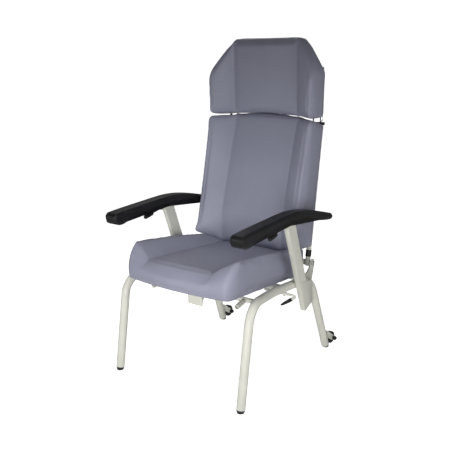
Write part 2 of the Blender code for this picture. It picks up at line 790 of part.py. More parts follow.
def back_section(x):
    """Side view of the back cushion at one distance from the middle."""
    edge = max(abs(x) - 0.241, 0.0) / (BACK_HALF - 0.241)
    top = 1.0050 - 0.0180 * (x / 0.24) ** 2 - 0.003 * edge
    rear_top = 1.0050 - 0.035 * math.sin(math.pi / 2 * min(abs(x) / 0.24, 1.0)) ** 2 - 0.005 * edge
    front_low = back_front(x, 0.49)
    low_front = seat_top(x, front_low) + 0.004
    low_rear = seat_top(x, 0.2) + 0.004
    points = [(back_rear(low_rear) - 0.0005, low_rear)]
    points.append((front_low + 0.012, low_front))
    points.append((front_low, low_front + 0.014))
    for z in (0.54, 0.585, 0.64, 0.705, 0.80, 0.90, top - 0.016):
        points.append((back_front(x, z) + 0.006 * edge, z))
    points.append((back_front(x, top) + 0.014, top))
    points.append((back_rear(rear_top) - 0.012, rear_top))
    points.append((back_rear(rear_top - 0.014) - 0.0005, rear_top - 0.014))
    return points


def back_cushion():
    stations = both_ways((0.0, 0.08, SEAT_FOLD_X, 0.2, BACK_CREST_X, 0.2435, BACK_HALF))
    rings = [[(x, y, z) for y, z in back_section(x)] for x in stations]
    item = finish_object("back_cushion", mesh_from("back_cushion", lambda bm: loft(bm, rings)), "vinyl", 50)
    recess = mesh_from("recess", lambda bm: prism_x(bm, back_board_outline(GAP, 0.02), -BOARD_HALF - GAP,
                                                    BOARD_HALF + GAP))
    boolean(item, recess, "DIFFERENCE")


def back_board_outline(gap, behind):
    """Side view of the board let into the rear of the back cushion."""
    low, high = 0.490 - gap, 0.950 + gap
    return [(back_rear(low) - BACK_BOARD_T - gap, low), (back_rear(low) + behind, low),
            (back_rear(high) + behind, high), (back_rear(high) - BACK_BOARD_T - gap, high)]


def back_board():
    outline = back_board_outline(0.0, 0.0)
    finish_object("back_board", mesh_from("back_board", lambda bm: prism_x(bm, outline, -BOARD_HALF,
                                                                           BOARD_HALF)), "plywood", 0)


def back_upright(side_name, side):
    """Side tube of the back frame, with the pivot hole near its lower end."""
    name = "back_upright_" + side_name
    foot = back_tube(PIVOT_Z - 0.013, side)
    item = finish_object(name, mesh_from(name, lambda bm: rod(bm, foot, back_tube(GUIDE_Z - 0.0018, side),
                                                              BACK_TUBE_R, 16)), "frame")
    boss = mesh_from("boss", lambda bm: rod(bm, ((BACK_TUBE_X + 0.004) * side, PIVOT_Y, PIVOT_Z),
                                            ((LUG_X - 2 * GAP) * side, PIVOT_Y, PIVOT_Z), 0.0090, 16))
    boolean(item, boss, "UNION")
    hole = mesh_from("hole", lambda bm: rod(bm, ((BACK_TUBE_X - 0.006) * side, PIVOT_Y, PIVOT_Z),
                                            ((BACK_TUBE_X + 0.03) * side, PIVOT_Y, PIVOT_Z), 0.0054, 16))
    boolean(item, hole, "DIFFERENCE")
    top = back_tube(GUIDE_Z, side)
    down = (back_tube(0.5, side) - top).normalized()
    bore = mesh_from("bore", lambda bm: rod(bm, top - down * 0.01, top + down * 0.165,
                                            HEAD_POST_R + GAP, 14))
    boolean(item, bore, "DIFFERENCE")
    item.data.shade_smooth()
    item.data.set_sharp_from_angle(angle=math.radians(40))


def back_cross(name, z, radius):
    """Cross tube between the back's side tubes."""
    y = PIVOT_Y if z == PIVOT_Z else back_tube(z).y
    cross_tube(name, y, z, radius, BACK_TUBE_X - BACK_TUBE_R - 0.0006)


def tube_collar(side_name, side):
    """Black clip around the side tube, just under the back cushion."""
    low, high = 0.428, 0.456
    bottom, top = back_tube(low, side), back_tube(high, side)
    along = (top - bottom).normalized()
    length = (top - bottom).length
    inner, outer = BACK_TUBE_R + GAP, 0.0123
    profile = [(inner, 0.0), (outer, 0.0), (outer, length), (inner, length)]
    name = "tube_collar_" + side_name
    finish_object(name, mesh_from(name, lambda bm: turned(bm, profile, 20, bottom, along)), "black_pu")


def head_guide(side_name, side):
    """Black guide on top of the side tube: a block for the head post, a lower ear for the lock rod."""
    name = "head_guide_" + side_name
    low, high = GUIDE_Z, GUIDE_Z + GUIDE_H
    ear_low, ear_high, ear_end = GUIDE_Z - 0.016, GUIDE_Z - 0.009, LOCK_X - 0.006
    inner, outer = GUIDE_X
    outline = [(outer, low), (outer, high), (inner, high), (inner, ear_high), (ear_end, ear_high),
               (ear_end, ear_low), (inner + 0.0105, ear_low), (inner + 0.0105, low)]

    def build(bm):
        rings = [[(x * side, back_tube(z).y + depth, z) for x, z in outline] for depth in (-0.007, 0.011)]
        loft(bm, rings)
        bmesh.ops.bevel(bm, geom=bm.edges[:], offset=0.0012, segments=2, profile=0.5, affect="EDGES")
    item = finish_object(name, mesh_from(name, build), "black_pu", 30)
    for x, radius in ((BACK_TUBE_X, HEAD_POST_R + GAP), (LOCK_X, LOCK_R + GAP)):
        start, end = back_tube(GUIDE_Z - 0.02, side), back_tube(GUIDE_Z + 0.05, side)
        start.x = end.x = x * side
        hole = mesh_from("hole", lambda bm: rod(bm, start, end, radius, 14))
        boolean(item, hole, "DIFFERENCE")
    item.data.shade_smooth()
    item.data.set_sharp_from_angle(angle=math.radians(30))


def gas_crank():
    """Fork on the back's lower cross tube that pushes the gas spring's rod."""
    rest = -RECLINE_RANGE / 2
    pin = Vector((PIVOT_Y - CRANK_R * math.sin(rest), PIVOT_Z - CRANK_R * math.cos(rest)))
    inside = EYE_W / 2 + 0.0015
    lean = math.degrees(rest)
    saddle = CROSS_R + GAP
    outline = arc((PIVOT_Y, PIVOT_Z), saddle + 0.0002, -90 - lean - 75, -90 - lean + 75, 10)
    outline += arc((pin.x, pin.y), 0.0135, -lean, -lean - 180, 10)
    item = finish_object("gas_crank", mesh_from("gas_crank", lambda bm: prism_x(bm, outline, inside,
                                                                                inside + 0.004)), "frame", 30)
    boolean(item, mesh_from("cheek", lambda bm: prism_x(bm, outline, -inside - 0.004, -inside)), "UNION")
    bridge = arc((PIVOT_Y, PIVOT_Z), saddle + 0.0002, -90 - lean - 50, -90 - lean + 50, 6)
    bridge += arc((PIVOT_Y, PIVOT_Z), saddle + 0.010, -90 - lean + 40, -90 - lean - 40, 6)
    boolean(item, mesh_from("bridge", lambda bm: prism_x(bm, bridge, -inside - 0.002, inside + 0.002)),
            "UNION")
    hole = mesh_from("hole", lambda bm: rod(bm, (-0.03, pin.x, pin.y), (0.03, pin.x, pin.y), 0.0078, 18))
    boolean(item, hole, "DIFFERENCE")
    item.data.shade_smooth()
    item.data.set_sharp_from_angle(angle=math.radians(30))


# ---------------------------------------------------------------- gas spring

def gas_spring():
    rest = -RECLINE_RANGE / 2
    eye = Vector((0.0, PIVOT_Y - CRANK_R * math.sin(rest), PIVOT_Z - CRANK_R * math.cos(rest)))
    root = Vector((0.0, SPRING_Y, SPRING_Z))
    along = (eye - root).normalized()
    length = (eye - root).length
    barrel_start, barrel_end = 0.018, 0.195
    hollow = barrel_end - 0.085
    barrel = [(0.0, barrel_start - 0.010), (0.005, barrel_start - 0.010), (0.005, barrel_start),
              (CYLINDER_R, barrel_start), (CYLINDER_R, barrel_end), (ROD_R + 0.0004, barrel_end),
              (ROD_R + 0.0004, hollow), (0.0, hollow)]
    item = finish_object("gas_cylinder", mesh_from("gas_cylinder",
                                                   lambda bm: turned(bm, barrel, 20, root, along)), "spring_black")
    half = EYE_W / 2
    ring = [(PIN_R + 0.0005, -half), (EYE_R, -half), (EYE_R, half), (PIN_R + 0.0005, half)]
    boolean(item, mesh_from("eye", lambda bm: turned(bm, ring, 18, root, (1, 0, 0))), "UNION")
    item.data.shade_smooth()
    item.data.set_sharp_from_angle(angle=math.radians(40))

    bar = mesh_from("gas_rod", lambda bm: rod(bm, root + along * (barrel_end - 0.030),
                                              root + along * (length - 0.006), ROD_R, 14))
    item = finish_object("gas_rod", bar, "steel")
    block = [(0.0, -half), (0.010, -half), (0.010, half), (0.0, half)]
    boolean(item, mesh_from("eye", lambda bm: turned(bm, block, 18, eye, (1, 0, 0))), "UNION")
    pin_half = EYE_W / 2 + 0.0065
    boolean(item, mesh_from("pin", lambda bm: rod(bm, eye - Vector((pin_half, 0, 0)),
                                                  eye + Vector((pin_half, 0, 0)), PIN_R, 14)), "UNION")
    item.data.shade_smooth()
    item.data.set_sharp_from_angle(angle=math.radians(40))


# ---------------------------------------------------------------- head rest

def head_section(x):
    """Side view of the head cushion at one distance from the middle."""
    chamfer = max(abs(x) - 0.155, 0.0) / (HEAD_HALF - 0.155)
    top = HEAD_TOP_Z - 0.125 * chamfer ** 1.15
    low = HEAD_BOTTOM_Z + 0.012 - 0.010 * min(abs(x) / 0.2, 1.0)
    edge = max(abs(x) - 0.238, 0.0) / (HEAD_HALF - 0.238)
    low += 0.010 * edge
    rise = min(max((abs(x) - SEAT_FOLD_X) / (BACK_CREST_X - SEAT_FOLD_X), 0.0), 1.0)
    depth = 0.066

    def front(z):
        near_top = min(max((z - (top - 0.07)) / 0.07, 0.0), 1.0)
        return head_panel(z) - rise * depth * (1 - 0.35 * near_top ** 2) + 0.010 * edge

    points = [(HEAD_REAR_Y, low + 0.004), (HEAD_REAR_Y - 0.004, low), (front(low) + 0.012, low), (front(low) + 0.001, low + 0.012)]
    for share in (0.25, 0.5, 0.75):
        z = low + share * (top - low)
        points.append((front(z), z))
    points.append((front(top - 0.018), top - 0.018))
    points.append((front(top) + 0.016, top))
    points.append((HEAD_REAR_Y - 0.008, top))
    points.append((HEAD_REAR_Y, top - 0.008))
    return points


def head_cushion():
    stations = both_ways((0.0, SEAT_FOLD_X, 0.185, 0.212, BACK_CREST_X, 0.242, HEAD_HALF))
    rings = [[(x, y, z) for y, z in head_section(x)] for x in stations]
    item = finish_object("head_cushion", mesh_from("head_cushion", lambda bm: loft(bm, rings)), "vinyl", 50)
    boolean(item, mesh_from("recess", lambda bm: head_board_solid(bm, GAP, 0.02)), "DIFFERENCE")


def head_board_solid(bm, gap, behind):
    """Board with two cut corners, let into the rear of the head cushion."""
    low, high = HEAD_BOTTOM_Z + 0.018 - gap, HEAD_TOP_Z - 0.035 + gap
    half, corner, cut = 0.2275 + gap, 0.150, 0.100
    outline = [(-half, low), (half, low), (half, high - cut), (corner, high), (-corner, high),
               (-half, high - cut)]
    front, rear = HEAD_REAR_Y - BACK_BOARD_T - gap, HEAD_REAR_Y + behind
    loft(bm, [[(x, y, z) for x, z in outline] for y in (front, rear)])


def head_board():
    mesh = mesh_from("head_board", lambda bm: head_board_solid(bm, 0.0, 0.0))
    finish_object("head_board", mesh, "plywood", 0)


def head_post(name, x, radius, side, depth, top):
    """Rod that slides in the back tube, cranked forward to lie on the head board."""
    low, bend = back_tube(GUIDE_Z - depth, side), back_tube(GUIDE_Z + GUIDE_H + 0.012, side)
    on_board = HEAD_REAR_Y + radius + GAP
    corners = [low, bend, Vector((0.0, on_board, 1.062)), Vector((0.0, on_board, top))]
    for corner in corners:
        corner.x = x * side
    path = rounded_path(corners, (0.030, 0.030), math.radians(8))
    finish_object(name, tube_mesh(name, path, radius, 12), "steel")


# ---------------------------------------------------------------- release shaft

def release_bracket():
    """Tab under the right rail that carries the release shaft."""
    top = rail_z(SHAFT_Y) - 0.004
    x0 = RAIL_X - TUBE_R - 0.010
    outline = [(SHAFT_Y + 0.011, top), (SHAFT_Y - 0.011, top)]
    outline += arc((SHAFT_Y, SHAFT_Z), 0.011, 180, 360, 8)
    item = finish_object("release_bracket", mesh_from("release_bracket", lambda bm: prism_x(bm, outline, x0,
                                                                                          x0 + 0.004)), "frame", 30)
    hole = mesh_from("hole", lambda bm: rod(bm, (x0 - 0.02, SHAFT_Y, SHAFT_Z), (x0 + 0.02, SHAFT_Y, SHAFT_Z),
                                            SHAFT_R + GAP, 14))
    boolean(item, hole, "DIFFERENCE")


def release_shaft():
    """Bent rod: a shaft across the bracket, cranked down and back in to the paddle."""
    corners = [Vector((0.150, SHAFT_Y, SHAFT_Z)), Vector((0.2885, SHAFT_Y, SHAFT_Z)),
               Vector((0.276, SHAFT_Y + 0.0195, SHAFT_Z - 0.0165)),
               Vector((0.2655, SHAFT_Y + 0.0195, SHAFT_Z - 0.024))]
    path = rounded_path(corners, (0.009, 0.006), math.radians(22))
    finish_object("release_shaft", tube_mesh("release_shaft", path, SHAFT_R, 12), "frame")
    start, end = corners[2], corners[3]
    along = (end - start).normalized()
    wide = Vector((0.0, 1.0, 0.0))
    thick = along.cross(wide).normalized()
    centre = end + along * 0.0006

    def build(bm):
        rings = []
        for share, half_wide, half_thick in ((0.0, 0.010, 0.007), (0.008, 0.013, 0.0085),
                                             (0.040, 0.014, 0.007), (0.058, 0.008, 0.004)):
            middle = centre + along * share
            rings.append([middle + wide * half_wide * a + thick * half_thick * b
                          for a, b in circle(1.0, 12)])
        loft(bm, rings)
    finish_object("release_paddle", mesh_from("release_paddle", build), "black_pu")


# ---------------------------------------------------------------- build

def main():
    clear_scene()
    for side_name, side in sides_of_chair():
        side_frame(side_name, side)
        foot_cap("foot_cap_front_" + side_name, front_leg, side)
        foot_cap("foot_cap_rear_" + side_name, rear_leg, side)
        socket_tube(side_name, side)
        arm_post(side_name, side)
        arm_base(side_name, side)
        arm_pad(side_name, side)
        hand_lever(side_name, side)
        gusset(side_name, side)
        pivot_lug(side_name, side)
        pivot_bolt(side_name, side)
        wheel_fork(side_name, side)
        wheel(side_name, side)
        wheel_axle(side_name, side)
        back_upright(side_name, side)
        tube_collar(side_name, side)
        head_guide(side_name, side)
        head_post("head_post_" + side_name, BACK_TUBE_X, HEAD_POST_R, side, 0.130, 1.20)
        head_post("head_lock_rod_" + side_name, LOCK_X, LOCK_R, side, 0.095, 1.10)
    cross_tubes()
    hook_plate()
    seat_board()
    seat_cushion()
    back_cross("back_cross_lower", PIVOT_Z, CROSS_R)
    back_cross("back_cross_upper", 0.800, 0.010)
    gas_crank()
    back_board()
    back_cushion()
    head_board()
    head_cushion()
    gas_spring()
    release_bracket()
    release_shaft()


main()
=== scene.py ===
"""Looks of the patient recliner chair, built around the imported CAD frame.

Every hard CAD node is shown through a finer copy of itself with rounded edges, and the three
cushions are inflated by cloth simulation from the shapes that the CAD solids hold.
"""

import json
import math

import bmesh
import bpy
import numpy as np
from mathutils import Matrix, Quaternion, Vector

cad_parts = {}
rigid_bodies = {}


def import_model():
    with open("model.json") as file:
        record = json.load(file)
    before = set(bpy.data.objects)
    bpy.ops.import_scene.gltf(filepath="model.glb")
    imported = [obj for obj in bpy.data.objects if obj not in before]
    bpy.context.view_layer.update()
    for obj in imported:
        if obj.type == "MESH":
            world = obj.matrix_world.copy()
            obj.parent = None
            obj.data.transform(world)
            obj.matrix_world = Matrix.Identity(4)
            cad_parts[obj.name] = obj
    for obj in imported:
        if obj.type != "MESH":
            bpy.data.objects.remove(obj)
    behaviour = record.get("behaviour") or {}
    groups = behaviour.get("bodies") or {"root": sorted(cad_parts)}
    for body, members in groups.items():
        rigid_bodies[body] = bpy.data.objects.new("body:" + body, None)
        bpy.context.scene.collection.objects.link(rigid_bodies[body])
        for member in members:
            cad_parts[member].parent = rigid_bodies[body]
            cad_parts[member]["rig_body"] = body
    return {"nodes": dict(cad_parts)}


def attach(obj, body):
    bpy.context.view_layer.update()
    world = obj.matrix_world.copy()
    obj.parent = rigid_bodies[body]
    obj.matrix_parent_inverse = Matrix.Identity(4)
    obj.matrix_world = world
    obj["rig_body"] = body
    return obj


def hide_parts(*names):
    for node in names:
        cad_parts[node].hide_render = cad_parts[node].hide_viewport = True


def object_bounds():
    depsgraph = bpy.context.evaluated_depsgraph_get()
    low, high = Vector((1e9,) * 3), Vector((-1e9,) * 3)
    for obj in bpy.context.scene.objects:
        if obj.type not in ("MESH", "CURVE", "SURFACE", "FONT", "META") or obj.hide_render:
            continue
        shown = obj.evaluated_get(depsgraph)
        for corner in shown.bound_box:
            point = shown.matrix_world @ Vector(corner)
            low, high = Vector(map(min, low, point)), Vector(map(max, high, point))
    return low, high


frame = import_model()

cad_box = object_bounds()
NODES = frame["nodes"]

SOFT_NODES = ("seat_cushion", "back_cushion", "head_cushion")

SKIN_LEVELS = 2              # subdivisions of a hard part
EDGE_RADIUS = 0.0006
CREASE_ANGLE = 33            # degrees; sharper edges than this stay edges

SIM_VOXEL = 0.005
SIM_FRAMES = 20
SIM_PRESSURE = 4.0

FOLD_X = 0.150               # the folds beside the middle panel
FOLD_WIDTH, FOLD_HOLD = 0.012, 0.95
KNEE_DEPTH, KNEE_BOW = 0.054, 0.45    # the fold behind the seat's nose
KNEE_WIDTH, KNEE_FADE = 0.010, 0.02
FACE_ROUNDS = 3
OUTLINE_SPREAD = 8           # rounds that widen the rounded band along the outline
START_INSET = 0.15           # share of the swelling that the start shape is smaller by
BACK_HOLD = 0.9
LEAST_SWELL, SIDE_SWELL, PANEL_SWELL = 0.004, 0.003, 0.004
SEAM_DEPTH, SEAM_WIDTH = 0.0013, 0.0022

VINYL = (0.262, 0.266, 0.342)
PAINT = (0.630, 0.630, 0.560)
BLACK = (0.0085, 0.0085, 0.0095)
HUB_GREY = (0.055, 0.055, 0.060)
STEEL = (0.56, 0.56, 0.57)
FLOOR_GLOW = 0.11
PANEL_PROUD = 0.0016


# ---------------------------------------------------------------- materials

class Nodes:
    """Short calls for building one material's node tree."""

    def __init__(self, name):
        self.material = bpy.data.materials.new(name)
        self.material.use_nodes = True
        self.tree = self.material.node_tree
        self.shader = self.tree.nodes["Principled BSDF"]
        self.coords = self.add("ShaderNodeTexCoord").outputs["Object"]

    def add(self, kind, **values):
        node = self.tree.nodes.new(kind)
        for key, value in values.items():
            setattr(node, key, value)
        return node

    def link(self, start, end):
        self.tree.links.new(start, end)

    def noise(self, scale, detail=3.0, roughness=0.5, stretch=None):
        node = self.add("ShaderNodeTexNoise")
        node.inputs["Scale"].default_value = scale
        node.inputs["Detail"].default_value = detail
        node.inputs["Roughness"].default_value = roughness
        self.link(self.stretched(stretch), node.inputs["Vector"])
        return node.outputs["Fac"]

    def cells(self, scale, feature="F1", randomness=1.0):
        node = self.add("ShaderNodeTexVoronoi", feature=feature)
        node.inputs["Scale"].default_value = scale
        node.inputs["Randomness"].default_value = randomness
        self.link(self.coords, node.inputs["Vector"])
        return node.outputs["Distance"]

    def stretched(self, stretch):
        if stretch is None:
            return self.coords
        node = self.add("ShaderNodeMapping")
        node.inputs["Scale"].default_value = stretch
        self.link(self.coords, node.inputs["Vector"])
        return node.outputs["Vector"]

    def ramp(self, value, low, high, start=0.3, end=0.7):
        node = self.add("ShaderNodeMapRange")
        node.inputs["From Min"].default_value = start
        node.inputs["From Max"].default_value = end
        node.inputs["To Min"].default_value = low
        node.inputs["To Max"].default_value = high
        self.link(value, node.inputs["Value"])
        return node.outputs["Result"]

    def blend(self, value, dark, light):
        node = self.add("ShaderNodeMix", data_type="RGBA")
        self.link(value, node.inputs["Factor"])
        node.inputs[6].default_value = (*dark, 1.0)
        node.inputs[7].default_value = (*light, 1.0)
        return node.outputs[2]

    def bump(self, height, strength, distance, below=None):
        node = self.add("ShaderNodeBump")
        node.inputs["Strength"].default_value = strength
        node.inputs["Distance"].default_value = distance
        self.link(height, node.inputs["Height"])
        if below is not None:
            self.link(below, node.inputs["Normal"])
        return node.outputs["Normal"]

    def finish(self, colour, roughness, normal, **sockets):
        self.link(colour, self.shader.inputs["Base Color"])
        self.link(roughness, self.shader.inputs["Roughness"])
        self.link(normal, self.shader.inputs["Normal"])
        for name, value in sockets.items():
            self.shader.inputs[name.replace("_", " ")].default_value = value
        return self.material


def shade(colour, factor):
    return tuple(min(c * factor, 1.0) for c in colour)


def vinyl_material(name, colour):
    """Coated fabric: pebbled grain, gentle hand-sized undulation, satin gloss."""
    n = Nodes(name)
    patches = n.ramp(n.noise(7.0, 4.0), 0.0, 1.0)
    tone = n.blend(patches, shade(colour, 0.95), shade(colour, 1.04))
    rough = n.ramp(n.noise(45.0, 3.0), 0.47, 0.58)
    soft = n.bump(n.noise(38.0, 2.0), 0.25, 0.0010)
    grain = n.bump(n.cells(850.0, "SMOOTH_F1"), 0.35, 0.00030, soft)
    return n.finish(tone, rough, grain, Specular_IOR_Level=0.42)


def paint_material(name, colour):
    """Powder coat: fine orange peel, faint unevenness in tone."""
    n = Nodes(name)
    tone = n.blend(n.ramp(n.noise(11.0, 3.0), 0.0, 1.0), shade(colour, 0.965), shade(colour, 1.02))
    rough = n.ramp(n.noise(90.0, 2.0), 0.30, 0.40)
    peel = n.bump(n.noise(520.0, 2.0), 0.22, 0.00022)
    return n.finish(tone, rough, peel, Specular_IOR_Level=0.5)


def foam_skin_material(name, colour):
    """Integral-skin polyurethane: dense pores in a soft leather grain."""
    n = Nodes(name)
    tone = n.blend(n.ramp(n.noise(16.0, 3.0), 0.0, 1.0), shade(colour, 0.8), shade(colour, 1.35))
    rough = n.ramp(n.noise(60.0, 4.0), 0.36, 0.52)
    coarse = n.bump(n.cells(420.0, "SMOOTH_F1"), 0.30, 0.00030)
    fine = n.bump(n.noise(1500.0, 2.0), 0.25, 0.00012, coarse)
    return n.finish(tone, rough, fine, Specular_IOR_Level=0.28)


def plastic_material(name, colour, low=0.34, high=0.46):
    """Moulded plastic with a fine spark-eroded texture."""
    n = Nodes(name)
    tone = n.blend(n.ramp(n.noise(25.0, 2.0), 0.0, 1.0), shade(colour, 0.9), shade(colour, 1.15))
    rough = n.ramp(n.noise(120.0, 3.0), low, high)
    texture = n.bump(n.noise(2200.0, 2.0), 0.30, 0.00010)
    return n.finish(tone, rough, texture, Specular_IOR_Level=0.32)


def rubber_material(name, colour):
    """Matt rubber, dusty in patches."""
    n = Nodes(name)
    dust = n.ramp(n.noise(70.0, 5.0, 0.65), 0.0, 1.0, 0.45, 0.75)
    tone = n.blend(dust, colour, shade(colour, 2.1))
    rough = n.ramp(n.noise(140.0, 3.0), 0.62, 0.82)
    texture = n.bump(n.noise(900.0, 3.0), 0.35, 0.00018)
    return n.finish(tone, rough, texture, Specular_IOR_Level=0.35)


def steel_material(name, colour, stretch):
    """Zinc-plated steel with drawing lines along its length."""
    n = Nodes(name)
    lines = n.noise(240.0, 3.0, 0.6, stretch)
    tone = n.blend(n.ramp(lines, 0.0, 1.0), shade(colour, 0.86), shade(colour, 1.12))
    rough = n.ramp(n.noise(60.0, 4.0), 0.20, 0.34)
    scratch = n.bump(lines, 0.18, 0.00010)
    return n.finish(tone, rough, scratch, Metallic=1.0)


def fleece_material(name, colour):
    """Black spun-bonded cover stapled over a board."""
    n = Nodes(name)
    fibres = n.noise(1300.0, 4.0, 0.7, (1.0, 0.35, 1.0))
    tone = n.blend(n.ramp(fibres, 0.0, 1.0), shade(colour, 0.6), shade(colour, 1.8))
    rough = n.ramp(n.noise(300.0, 2.0), 0.85, 0.97)
    quilt = n.bump(n.cells(260.0, "DISTANCE_TO_EDGE", 0.1), 0.35, 0.00030)
    weave = n.bump(fibres, 0.5, 0.00020, quilt)
    return n.finish(tone, rough, weave, Specular_IOR_Level=0.2)


def floor_material():
    """White floor: it glows a little, and more for the eye than for the chair."""
    n = Nodes("studio_floor")
    seen = n.add("ShaderNodeLightPath").outputs["Is Camera Ray"]
    n.link(n.ramp(seen, FLOOR_GLOW, 1.02, 0.0, 1.0), n.shader.inputs["Emission Strength"])
    tone = n.blend(n.ramp(n.noise(1.5, 2.0), 0.0, 1.0), (0.90, 0.90, 0.90), (0.93, 0.93, 0.93))
    rough = n.ramp(n.noise(3.0, 2.0), 0.78, 0.86)
    grain = n.bump(n.noise(400.0, 2.0), 0.05, 0.0001)
    return n.finish(tone, rough, grain, Specular_IOR_Level=0.2, Emission_Color=(1.0, 1.0, 1.0, 1.0))


MATERIALS = {
    "vinyl": vinyl_material("seat_vinyl", VINYL),
    "paint": paint_material("powder_coat", PAINT),
    "foam_skin": foam_skin_material("arm_foam_skin", BLACK),
    "plastic": plastic_material("black_plastic", BLACK),
    "hub": plastic_material("hub_plastic", HUB_GREY, 0.42, 0.55),
    "rubber": rubber_material("black_rubber", (0.022, 0.022, 0.023)),
    "steel_upright": steel_material("plated_steel_rod", STEEL, (1.0, 1.0, 0.03)),
    "steel_across": steel_material("plated_steel_pin", STEEL, (0.03, 1.0, 1.0)),
    "spring": plastic_material("spring_lacquer", (0.012, 0.012, 0.013), 0.18, 0.26),
    "fleece": fleece_material("dust_cover", (0.02, 0.02, 0.021)),
}

LOOKS = (
    ("arm_pad", "foam_skin"), ("lever_knob", "plastic"), ("release_paddle", "plastic"),
    ("tube_collar", "plastic"), ("head_guide", "plastic"), ("wheel_axle", "plastic"),
    ("foot_cap", "rubber"), ("wheel_tyre", "rubber"), ("wheel_hub", "hub"),
    ("gas_cylinder", "spring"), ("gas_rod", "steel_across"), ("head_post", "steel_upright"),
    ("head_lock_rod", "steel_upright"), ("pivot_bolt", "steel_across"),
    ("hand_lever", "steel_across"), ("seat_board", "fleece"), ("back_board", "vinyl"),
    ("head_board", "vinyl"),
)


def look_of(name):
    for start, look in LOOKS:
        if name.startswith(start):
            return look
    return "paint"


# ---------------------------------------------------------------- mesh helpers

def body_of(node):
    return NODES[node]["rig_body"]


def welded(node):
    """The CAD node's mesh as one connected surface, with its flat faces whole again."""
    bm = bmesh.new()
    bm.from_mesh(NODES[node].data)
    bmesh.ops.remove_doubles(bm, verts=bm.verts[:], dist=2e-6)
    bmesh.ops.dissolve_limit(bm, angle_limit=math.radians(0.2), verts=bm.verts[:], edges=bm.edges[:])
    triangles = [f for f in bm.faces if len(f.verts) == 3]
    bmesh.ops.join_triangles(bm, faces=triangles, angle_face_threshold=math.radians(25),
                             angle_shape_threshold=math.radians(50))
    bmesh.ops.recalc_face_normals(bm, faces=bm.faces[:])
    return bm


def place(name, mesh, look, body, replaced=None):
    item = bpy.data.objects.new(name, mesh)
    bpy.context.scene.collection.objects.link(item)
    mesh.materials.clear()
    mesh.materials.append(MATERIALS[look])
    if replaced:
        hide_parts(replaced)
    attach(item, body)
    return item


def finer(node, look):
    """A finer copy of a CAD node: round surfaces subdivided, sharp edges broken by a small radius."""
    bm = welded(node)
    creases = bm.edges.layers.float.new("crease_edge")
    for e in bm.edges:
        if len(e.link_faces) == 2 and e.calc_face_angle(0.0) > math.radians(CREASE_ANGLE):
            e[creases] = 1.0
    mesh = bpy.data.meshes.new(node + "_skin")
    bm.to_mesh(mesh)
    bm.free()
    mesh.shade_smooth()
    item = place(node + "_skin", mesh, look, body_of(node), node)
    surface = item.modifiers.new("surface", "SUBSURF")
    surface.levels = surface.render_levels = SKIN_LEVELS
    bevel = item.modifiers.new("edges", "BEVEL")
    bevel.width, bevel.segments = EDGE_RADIUS, 2
    bevel.limit_method, bevel.angle_limit = "ANGLE", math.radians(CREASE_ANGLE)
    bevel.harden_normals = True
    return item


def raise_panel(item):
    """Lets a covered board stand a little proud of the cushion it is let into."""
    proud = item.modifiers.new("proud", "DISPLACE")
    proud.strength, proud.mid_level = PANEL_PROUD, 0.0
    item.modifiers.move(len(item.modifiers) - 1, 0)
    item.modifiers["edges"].width = PANEL_PROUD * 0.9
    item.modifiers["edges"].segments = 3


# ---------------------------------------------------------------- cushions

def joined_form(name, *nodes):
    """One mesh of a cushion's CAD solid with the board that is let into it."""
    bm = bmesh.new()
    for node in nodes:
        bm.from_mesh(NODES[node].data)
    bmesh.ops.remove_doubles(bm, verts=bm.verts[:], dist=2e-6)
    mesh = bpy.data.meshes.new(name)
    bm.to_mesh(mesh)
    bm.free()
    item = bpy.data.objects.new(name, mesh)
    bpy.context.scene.collection.objects.link(item)
    return item


def apply_modifiers(item):
    depsgraph = bpy.context.evaluated_depsgraph_get()
    mesh = bpy.data.meshes.new_from_object(item.evaluated_get(depsgraph))
    item.modifiers.clear()
    old = item.data
    item.data = mesh
    bpy.data.meshes.remove(old)


def coordinates(mesh):
    values = np.zeros(len(mesh.vertices) * 3)
    mesh.vertices.foreach_get("co", values)
    return values.reshape(-1, 3)


def set_coordinates(mesh, points):
    mesh.vertices.foreach_set("co", points.ravel())
    mesh.update()


def normals(mesh):
    values = np.zeros(len(mesh.vertices) * 3)
    mesh.vertex_normals.foreach_get("vector", values)
    return values.reshape(-1, 3)


def relaxed(mesh, points, rounds, strength=0.5, hold=None):
    """Moves every point towards the mean of its neighbours; hold is each point's stiffness, 0 to 1."""
    ends = np.zeros(len(mesh.edges) * 2, dtype=np.int64)
    mesh.edges.foreach_get("vertices", ends)
    a, b = ends.reshape(-1, 2).T
    count = np.bincount(a, minlength=len(points)) + np.bincount(b, minlength=len(points))
    share = strength if hold is None else (strength * (1 - hold))[:, None]
    for _ in range(rounds):
        total = np.zeros_like(points)
        for axis in range(3):
            total[:, axis] = (np.bincount(a, points[b, axis], len(points))
                              + np.bincount(b, points[a, axis], len(points)))
        points = points + share * (total / count[:, None] - points)
    return points


def step(value, low, high):
    """0 below low, 1 above high, smooth in between."""
    share = np.clip((value - low) / (high - low), 0.0, 1.0)
    return share * share * (3 - 2 * share)


def inflated(item, limit):
    """Swells the cover by cloth simulation and caps how far each point may move."""
    start = coordinates(item.data)
    cloth = item.modifiers.new("cover", "CLOTH")
    settings = cloth.settings
    settings.quality = 4
    settings.use_pressure = True
    settings.uniform_pressure_force = SIM_PRESSURE
    settings.tension_stiffness = settings.compression_stiffness = 12.0
    settings.bending_stiffness = 0.8
    settings.effector_weights.gravity = 0.0
    cloth.collision_settings.use_self_collision = False
    cloth.point_cache.frame_start, cloth.point_cache.frame_end = 1, SIM_FRAMES
    scene = bpy.context.scene
    for number in range(1, SIM_FRAMES + 1):
        scene.frame_set(number)
    apply_modifiers(item)
    scene.frame_set(1)
    moved = coordinates(item.data)
    shift = moved - start
    length = np.linalg.norm(shift, axis=1)
    allowed = limit * np.tanh(length / np.maximum(limit, 1e-6))
    return start + shift * (allowed / np.maximum(length, 1e-9))[:, None]


